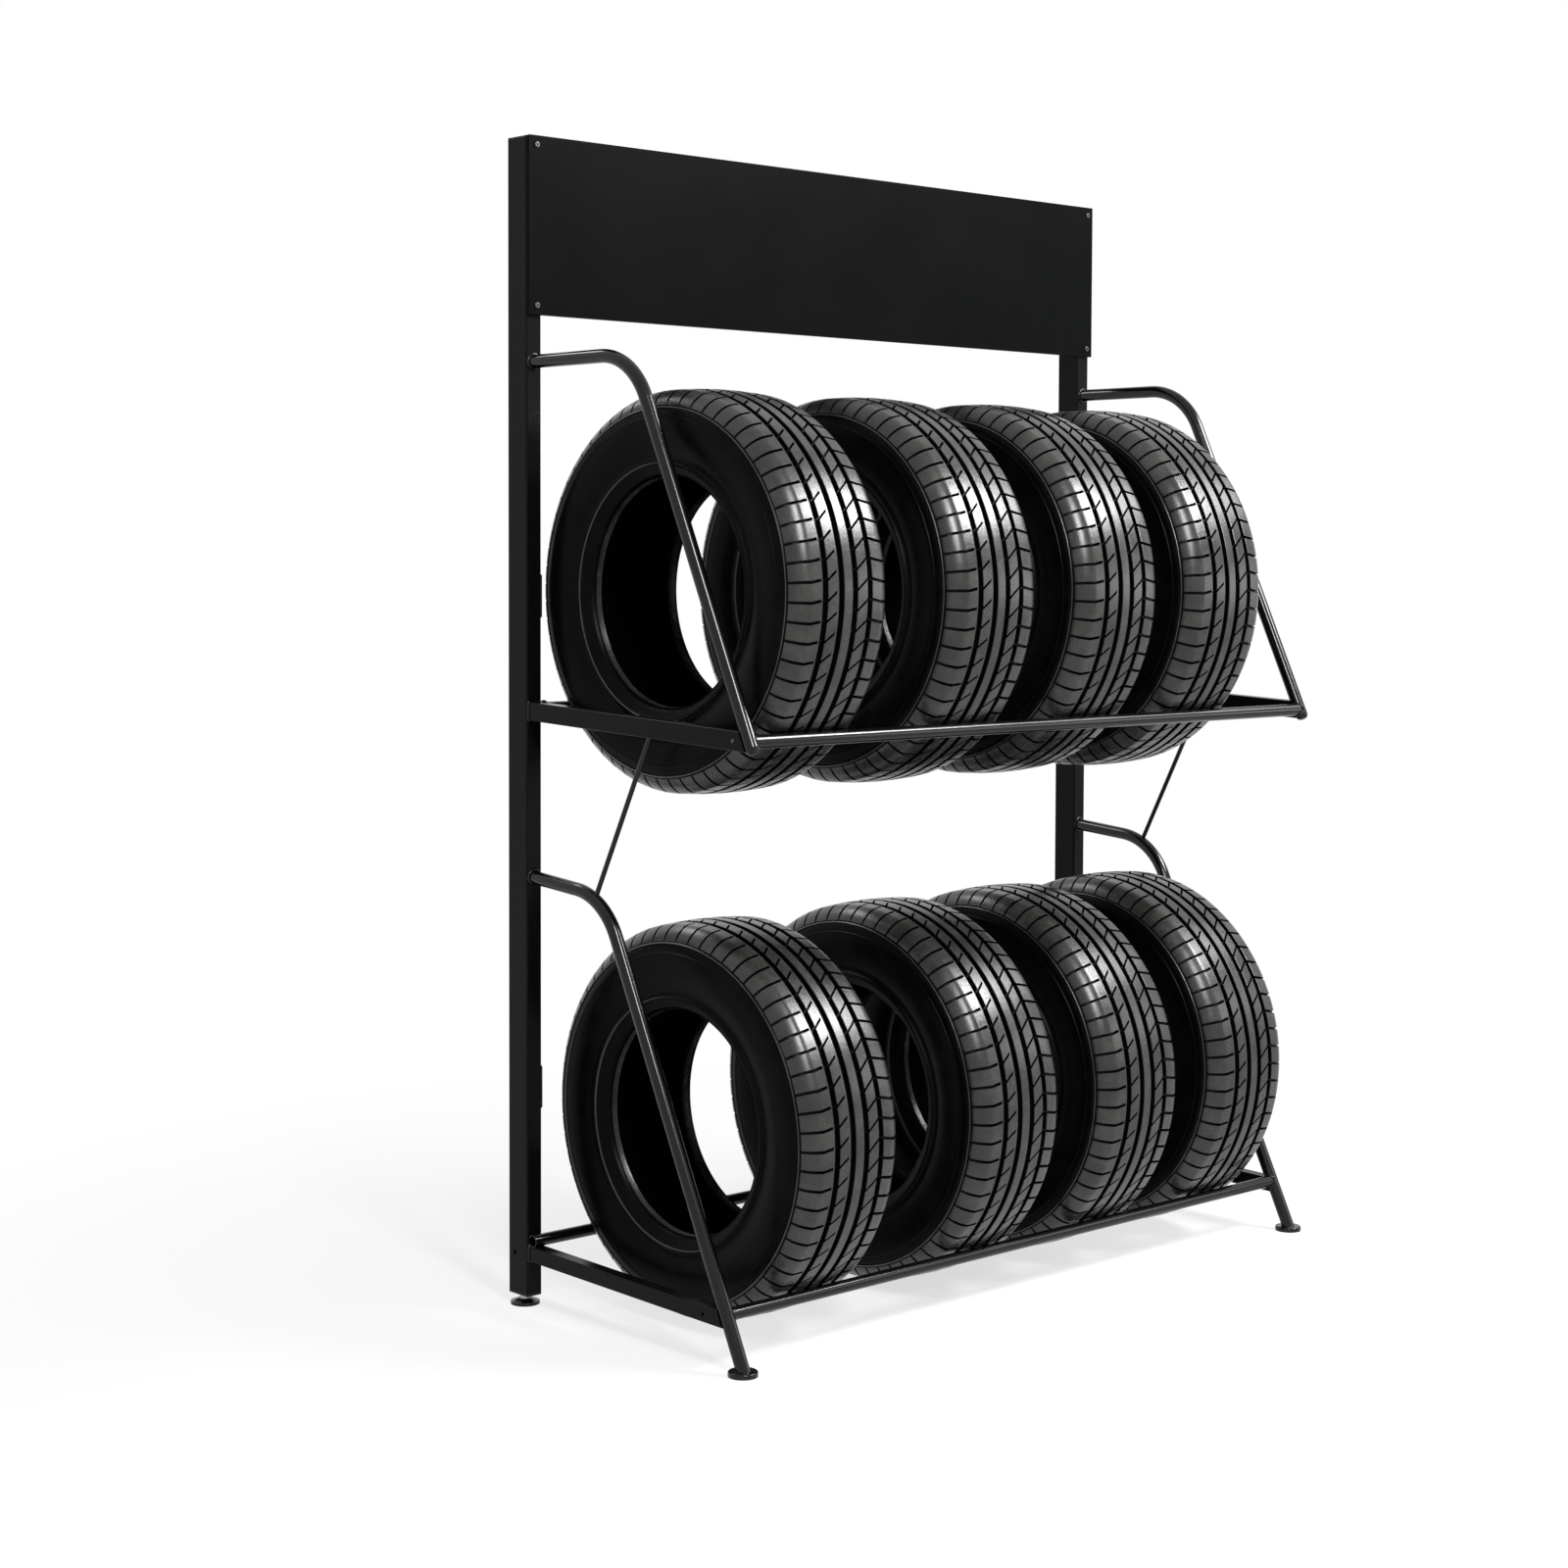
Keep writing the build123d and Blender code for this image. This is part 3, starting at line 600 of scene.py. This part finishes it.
# The inside from the toe to the crown: (inset, rise)
TYRE_LINER = (
    (0.0350, 0.0035), (0.0330, 0.0110), (0.0230, 0.0260), (0.0140, 0.0500), (0.0100, 0.0780),
    (0.0140, 0.0980), (0.0240, 0.1140), (0.0480, 0.1220))
INNER_GROOVE = (0.0085, 0.0195)  # from the middle to a groove's two edges
OUTER_GROOVE = (0.04075, 0.05125)
TREAD_EDGE = 0.072  # where the ribs end and the shoulder's curve begins
RIB_CHAMFER = 0.0007
RIB_SLANT = 0.016  # how far a cut climbs across a rib
SHOULDER_SWEEP = 0.012  # radians that a cut turns across the left shoulder
SLOT_LIP = 0.0005  # run of a slot's wall from its rim to its floor
SUNK = 0.0004  # a point this far below its row lies in a slot
SAME_PLACE = 1e-6
MERGE_REACH = 0.00005
SMOOTH_ANGLE = math.radians(32)


def tyre_rows(sizes):
    """Section of a tyre as rows (x, radius, turn, slot, lighter) in metres and radians, and the row
    its inside starts at. turn slants the cross slots, slot is the cut share of their depth, and
    lighter picks the lighter tread rubber, which is a painted highlight line on the thin rings at
    the bead and the ridge at the shoulder; the grooves' rows leave it out, so their floors are
    near-black as painted shade."""
    half, bead = sizes.half_width, sizes.bead
    rows = []

    def crown(x):
        return sizes.radius - sizes.crown_drop * (x / sizes.tread_half_width) ** 2

    def side(sign, turn, order):
        # The last column picks the lighter tread rubber; on the thin rings at the bead and the
        # ridge at the shoulder it is a painted highlight line.
        for inset, rise, slot, lighter_rubber in order:
            rows.append((sign * (half - inset), bead + rise, turn, slot, lighter_rubber))

    def rib(x0, x1, turn0, turn1, cuts, open_left=True, open_right=True):
        """Top of a rib. cuts has each station's share of a slot. An open side ends in a groove."""
        if open_left:
            rows.append((x0, crown(x0) - RIB_CHAMFER, turn0, cuts[0], True))
        for i, cut in enumerate(cuts):
            s = i / (len(cuts) - 1)
            x = x0 + (x1 - x0) * s
            x += RIB_CHAMFER * ((i == 0) * open_left - (s == 1) * open_right)
            rows.append((x, crown(x), turn0 + (turn1 - turn0) * s, cut, True))
        if open_right:
            rows.append((x1, crown(x1) - RIB_CHAMFER, turn1, cuts[-1], True))

    def groove(x0, x1, turn):
        for x in (x0 + RIB_CHAMFER, x1 - RIB_CHAMFER):
            # A groove's floor takes the near-black rubber as painted shade.
            rows.append((x, crown(x) - sizes.groove_depth, turn, 0, False))

    def liner(sign, turn, order):
        side(sign, turn, [(inset, rise, 0, False) for inset, rise in order])

    sweep = -SHOULDER_SWEEP
    slant = -RIB_SLANT / sizes.radius
    near, far = INNER_GROOVE
    edge, shoulder = OUTER_GROOVE
    side(-1, 0.0, TYRE_SIDE)
    rib(-TREAD_EDGE, -shoulder, 0.0, sweep, (1, 1, 1, 1, 1, 1, 1, 0, 0), open_left=False)
    groove(-shoulder, -edge, sweep)
    rib(-edge, -far, sweep, sweep + slant, (1, 1, 1, 1, 0, 0))
    groove(-far, -near, sweep + slant)
    rib(-near, near, sweep + slant, sweep + slant, (0, 0, 0, 0))
    groove(near, far, sweep + slant)
    rib(far, edge, sweep + slant, sweep + slant * 2, (1, 1, 1, 1, 1, 1))
    groove(edge, shoulder, sweep + slant * 2)
    rib(shoulder, TREAD_EDGE, sweep + slant * 2, slant * 2, (1, 1, 1, 1, 1, 1), open_right=False)
    side(1, slant * 2, reversed(TYRE_SIDE))
    outer = len(rows)
    liner(1, slant * 2, TYRE_LINER)
    liner(-1, 0.0, reversed(TYRE_LINER))
    return rows, outer


def lathe_sector(name, rows, stops):
    """Draws the section by extruding a point, and spins it by each of the angles in turn."""
    deselect()
    place = [Vector((x, r * math.cos(turn), r * math.sin(turn))) for x, r, turn, *_ in rows]
    bpy.ops.mesh.primitive_plane_add(size=0.001, location=place[0])
    obj = bpy.context.object
    obj.name = name
    apply_place(obj)
    bpy.ops.object.mode_set(mode="EDIT")
    bpy.ops.mesh.select_mode(type="VERT")
    bpy.ops.mesh.select_all(action="SELECT")
    bpy.ops.mesh.merge(type="CENTER")
    for start, end in zip(place, place[1:]):
        bpy.ops.mesh.extrude_vertices_move(TRANSFORM_OT_translate={"value": end - start})
    bpy.ops.object.mode_set(mode="OBJECT")
    obj.data.vertices[0].select = True
    obj.data.vertices[len(place) - 1].select = True
    bpy.ops.object.mode_set(mode="EDIT")
    bpy.ops.mesh.edge_face_add()
    bpy.ops.mesh.select_all(action="SELECT")
    for angle in stops:
        bpy.ops.mesh.spin(steps=1, angle=angle, center=(0, 0, 0), axis=(1, 0, 0), dupli=False)
    bpy.ops.object.mode_set(mode="OBJECT")
    return obj


def cut_slots(obj, rows, sizes, lip, floor_lines):
    """Draws each slot's floor in towards the axle, all the rows of one share at a time."""
    mesh = obj.data
    for share in sorted({row[3] for row in rows if row[3]}):
        chosen = [row for row in rows if row[3] == share]
        select_only(obj)
        for parts in (mesh.polygons, mesh.edges, mesh.vertices):
            parts.foreach_set("select", [False] * len(parts))
        for vertex in mesh.vertices:
            radius = math.hypot(vertex.co.y, vertex.co.z)
            for x, r, turn, *_ in chosen:
                if abs(vertex.co.x - x) < SAME_PLACE and abs(radius - r) < SAME_PLACE:
                    angle = math.atan2(vertex.co.z, vertex.co.y) - turn
                    if any(abs(abs(angle) - line) < lip / 3 for line in floor_lines):
                        vertex.select = True
        bpy.ops.object.mode_set(mode="EDIT")
        shrink = 1 - sizes.slot_depth * share / sizes.radius
        bpy.ops.transform.resize(value=(1, shrink, shrink), center_override=(0, 0, 0))
        bpy.ops.object.mode_set(mode="OBJECT")


def repeat_round(obj, rows, pitch):
    """Repeats the sector round the axle and joins its copies."""
    deselect()
    bpy.ops.object.empty_add(location=(0, 0, 0))
    turner = bpy.context.object
    ends = (math.atan2(v.co.z, v.co.y) for v in obj.data.vertices
            if abs(v.co.x - rows[0][0]) < SAME_PLACE)
    turner.rotation_euler = Euler((math.copysign(pitch, max(ends, key=abs)), 0, 0))
    array = obj.modifiers.new("Round the axle", "ARRAY")
    array.count = TREAD_PITCHES
    array.use_relative_offset = False
    array.use_object_offset = True
    array.offset_object = turner
    array.use_merge_vertices = True
    array.use_merge_vertices_cap = True
    array.merge_threshold = MERGE_REACH
    bpy.context.view_layer.update()
    apply_modifiers(obj)
    bpy.data.objects.remove(turner)


def master_tyre(sizes):
    """One tyre round the X axis at the origin: a sector with its slots cut, repeated."""
    rows, outer = tyre_rows(sizes)
    pitch = math.tau / TREAD_PITCHES
    lip = SLOT_LIP / sizes.radius
    width = sizes.slot_width / sizes.radius
    block = (pitch - width) / BLOCK_STEPS
    obj = lathe_sector("tyre_master", rows, (lip, width - 2 * lip, lip) + (block,) * BLOCK_STEPS)
    cut_slots(obj, rows, sizes, lip, (lip, width - lip))
    repeat_round(obj, rows, pitch)
    select_only(obj)
    bpy.ops.object.mode_set(mode="EDIT")
    bpy.ops.mesh.select_all(action="SELECT")
    bpy.ops.mesh.remove_doubles(threshold=MERGE_REACH)
    bpy.ops.mesh.normals_make_consistent(inside=False)
    bpy.ops.object.mode_set(mode="OBJECT")
    bpy.ops.object.shade_smooth_by_angle(angle=SMOOTH_ANGLE)
    mark_tyre(obj, rows, outer, sizes)
    return obj


def mark_tyre(obj, rows, outer, sizes):
    """Writes the tyre's map, u round it and v across its section, and sorts its faces by skin: the
    near-black rubber in the grooves and slot floors is painted shade, and the lighter tread rubber
    on the thin rings at the bead and the ridge at the shoulder is a painted highlight line.
    """
    across_weight = 8  # so that a slot's floor still finds the row it was drawn in from
    mesh = obj.data
    run = [0.0]
    for a, b in zip(rows, rows[1:]):
        run.append(run[-1] + math.hypot(b[0] - a[0], b[1] - a[1]))
    station, sunk = [], []
    for vertex in mesh.vertices:
        x, radius = vertex.co.x, math.hypot(vertex.co.y, vertex.co.z)
        near = min(range(len(rows)), key=lambda i: (
            abs(rows[i][0] - x) * across_weight + abs(rows[i][1] - radius)))
        station.append(near)
        sunk.append(rows[near][1] - radius > SUNK)
    layer = mesh.uv_layers.new(name=TYRE_MAP)
    for poly in mesh.polygons:
        angles = [math.atan2(mesh.vertices[v].co.z, mesh.vertices[v].co.y) for v in poly.vertices]
        if max(angles) - min(angles) > math.pi:
            angles = [a + math.tau if a < 0 else a for a in angles]
        for loop, vertex, angle in zip(poly.loop_indices, poly.vertices, angles):
            layer.data[loop].uv = (angle * sizes.radius, run[station[vertex]])
        if sum(station[v] for v in poly.vertices) / len(poly.vertices) > outer - 0.5:
            poly.material_index = LINER
        # Lighter tread rubber: on the thin rings at the bead and the ridge at the shoulder it is a
        # painted highlight line.
        elif all(rows[station[v]][4] and not sunk[v] for v in poly.vertices):
            poly.material_index = TREAD_AND_HIGHLIGHT
        # Near-black rubber: in the grooves and slot floors it is painted shade.
        else:
            poly.material_index = SIDEWALL_AND_SHADE


class RACK_OT_make_tyres(bpy.types.Operator):
    """Mould one tyre and put a copy in each place on the rails"""
    bl_idname = "rack.make_tyres"
    bl_label = "Make the tyres"

    def execute(self, context):
        sizes = context.scene.tyre_sizes
        group = bpy.data.node_groups.get("Moulded rubber") or rubber_group()
        skins = [tyre_material(group, sizes, part) for part in TYRE_SKINS]
        master = master_tyre(sizes)
        skin_of_face = [p.material_index for p in master.data.polygons]
        give(master, *skins)
        master.data.polygons.foreach_set("material_index", skin_of_face)
        for node, turn in zip(TYRES, TYRE_TURNS):
            select_only(master)
            bpy.ops.object.duplicate()
            tyre = bpy.context.object
            tyre.name = node.replace("tyre_", "moulded_tyre_")
            tyre.rotation_euler = Euler((turn, 0, 0))
            tyre.location = middle(node)
            apply_place(tyre)
            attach(tyre, node)
            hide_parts(node)
        bpy.data.objects.remove(master)
        return {"FINISHED"}


# ------------------------------------------------------------------ stage
# The soft lights: name, place, what they face, width, height and the setting with their power
LIGHTS = (
    ("key_light", (2.0, -2.2, 3.4), (-0.3, -0.2, 1.0), 1.3, 1.1, "key_power"),
    ("rail_light", (3.3, -1.4, 3.4), (0.4, -0.2, 1.0), 1.2, 1.0, "rail_power"),
    ("front_light", (-1.45, -2.6, 3.0), (-0.5, 0.0, 1.0), 0.5, 1.3, "front_power"),
    ("side_light", (2.2, -2.1, 1.25), (-0.2, -0.2, 0.7), 1.5, 0.6, "side_power"),
    ("rim_light", (-0.7, 2.4, 3.3), (0.0, 0.0, 1.2), 1.2, 0.6, "rim_power"),
)
WORLD_LEVEL = 0.15  # strength with which the pale surroundings light the rack
FLOOR_RADIUS = 14.0
CAMERA_PLACE = (-3.3500, -3.2340, 1.2245)
CAMERA_AZIMUTH = math.radians(-42.219)
CAMERA_RISE = math.radians(2.6256)
CAMERA_ROLL = math.radians(0.1691)
CAMERA_SHIFT = (0.01584, -0.06703)
SENSOR_WIDTH = 36.0
CLIP_END = 60.0


def soft_light(name, place, target, width, height, power):
    deselect()
    bpy.ops.object.light_add(type="AREA", location=place)
    lamp = bpy.context.object
    lamp.name = name
    lamp.data.shape = "RECTANGLE"
    lamp.data.size = width
    lamp.data.size_y = height
    lamp.data.energy = power
    way = Vector(target) - Vector(place)
    lamp.rotation_euler = way.to_track_quat("-Z", "Y").to_euler()


def seen_rays(tree):
    """1 on the rays that look at a thing straight, in a reflection or through something."""
    path = tree.nodes.new("ShaderNodeLightPath")
    seen = math_node(tree, "MAXIMUM", path.outputs["Is Camera Ray"],
                     path.outputs["Is Transmission Ray"])
    return math_node(tree, "MAXIMUM", seen, path.outputs["Is Glossy Ray"])


def shader_mix(tree, share, first, second, target):
    mix = tree.nodes.new("ShaderNodeMixShader")
    tree.links.new(share, mix.inputs["Fac"])
    tree.links.new(first, mix.inputs[1])
    tree.links.new(second, mix.inputs[2])
    tree.links.new(mix.outputs["Shader"], target.inputs["Surface"])


class RACK_OT_light_stage(bpy.types.Operator):
    """Lay a pale floor, light it softly and set the camera"""
    bl_idname = "rack.light_stage"
    bl_label = "Light the stage"

    def execute(self, context):
        look = context.scene.stage_look
        self.floor(look)
        self.world()
        for name, place, target, width, height, power in LIGHTS:
            soft_light(name, place, target, width, height, getattr(look, power))
        self.camera(look)
        return {"FINISHED"}

    @staticmethod
    def floor(look):
        """Pale floor that fades to white away from the rack, and keeps the rack's shadow."""
        speckle_level, fade_start, fade_run = 0.985, 4.0, 6.0
        deselect()
        bpy.ops.mesh.primitive_circle_add(
            vertices=96, radius=FLOOR_RADIUS, fill_type="NGON", location=(0, 0, 0))
        floor = bpy.context.object
        floor.name = "studio_floor"
        material, tree, shader, coords = new_material("studio_floor")
        link = tree.links.new
        ramp = tree.nodes.new("ShaderNodeValToRGB")
        shade = look.floor_colour
        ramp.color_ramp.elements[0].color = (*(c * speckle_level for c in shade), 1)
        ramp.color_ramp.elements[1].color = (*shade, 1)
        link(noise(tree, coords.outputs["Object"], scale=40.0), ramp.inputs["Fac"])
        link(ramp.outputs["Color"], shader.inputs["Base Color"])
        shader.inputs["Roughness"].default_value = 0.9
        shader.inputs["Specular IOR Level"].default_value = 0.1
        glow = tree.nodes.new("ShaderNodeEmission")
        glow.inputs["Strength"].default_value = 1.0
        distance = tree.nodes.new("ShaderNodeVectorMath")
        distance.operation = "LENGTH"
        link(coords.outputs["Object"], distance.inputs[0])
        far = math_node(tree, "ADD", distance.outputs["Value"], fade_start)
        far = math_node(tree, "DIVIDE", far, fade_run, clamp=True)
        shader_mix(tree, math_node(tree, "MULTIPLY", far, seen_rays(tree)),
                   shader.outputs["BSDF"], glow.outputs["Emission"], tree.nodes["Material Output"])
        give(floor, material)

    @staticmethod
    def world():
        """White where it is seen, and a low even light on everything else."""
        world = bpy.data.worlds.new("pale_studio")
        bpy.context.scene.world = world
        world.use_nodes = True
        tree = world.node_tree
        soft = tree.nodes["Background"]
        soft.inputs["Color"].default_value = WHITE
        soft.inputs["Strength"].default_value = WORLD_LEVEL
        seen = tree.nodes.new("ShaderNodeBackground")
        seen.inputs["Color"].default_value = WHITE
        seen.inputs["Strength"].default_value = 1.0
        shader_mix(tree, seen_rays(tree), soft.outputs["Background"], seen.outputs["Background"],
                   tree.nodes["World Output"])

    @staticmethod
    def camera(look):
        level = math.cos(CAMERA_RISE)
        back = Vector((math.sin(CAMERA_AZIMUTH) * level, -math.cos(CAMERA_AZIMUTH) * level,
                       math.sin(CAMERA_RISE)))
        right = Vector((math.cos(CAMERA_AZIMUTH), math.sin(CAMERA_AZIMUTH), 0))
        up = back.cross(right)
        across = right * math.cos(CAMERA_ROLL) + up * math.sin(CAMERA_ROLL)
        upward = up * math.cos(CAMERA_ROLL) - right * math.sin(CAMERA_ROLL)
        data = bpy.data.cameras.new("camera")
        data.lens = look.lens
        data.sensor_width = SENSOR_WIDTH
        data.shift_x, data.shift_y = CAMERA_SHIFT
        data.clip_end = CLIP_END
        camera = bpy.data.objects.new("camera", data)
        bpy.context.scene.collection.objects.link(camera)
        turn = Matrix((across, upward, back)).transposed().to_4x4()
        camera.matrix_world = Matrix.Translation(CAMERA_PLACE) @ turn
        bpy.context.scene.camera = camera
        bpy.context.scene.view_settings.view_transform = "Standard"


# ------------------------------------------------------------------ add-on
class RACK_PT_sidebar(bpy.types.Panel):
    """Lists the steps that dress the rack"""
    bl_idname = "RACK_PT_sidebar"
    bl_label = "Tyre storage rack"
    bl_space_type = "VIEW_3D"
    bl_region_type = "UI"
    bl_category = "Tyre rack"

    def draw(self, context):
        scene = context.scene
        for title, settings, operators in (
                ("Stage", scene.stage_look, ("rack.light_stage",)),
                ("Frame", scene.rack_finish, ("rack.finish_frame", "rack.weld_seams")),
                ("Tyres", scene.tyre_sizes, ("rack.make_tyres",))):
            box = self.layout.box()
            box.label(text=title)
            for key in settings.bl_rna.properties.keys():
                if key not in ("rna_type", "name"):
                    box.prop(settings, key)
            for operator in operators:
                box.operator(operator)


CLASSES = (
    RackFinish, TyreSizes, StageLook, RACK_OT_light_stage, RACK_OT_finish_frame,
    RACK_OT_weld_seams, RACK_OT_make_tyres, RACK_PT_sidebar)


def register():
    for cls in CLASSES:
        bpy.utils.register_class(cls)
    bpy.types.Scene.rack_finish = bpy.props.PointerProperty(type=RackFinish)
    bpy.types.Scene.tyre_sizes = bpy.props.PointerProperty(type=TyreSizes)
    bpy.types.Scene.stage_look = bpy.props.PointerProperty(type=StageLook)


def unregister():
    del bpy.types.Scene.stage_look
    del bpy.types.Scene.tyre_sizes
    del bpy.types.Scene.rack_finish
    for cls in reversed(CLASSES):
        bpy.utils.unregister_class(cls)


def main():
    register()
    bpy.ops.rack.light_stage()
    bpy.ops.rack.finish_frame()
    bpy.ops.rack.weld_seams()
    bpy.ops.rack.make_tyres()
    deselect()


if __name__ == "__main__":
    main()
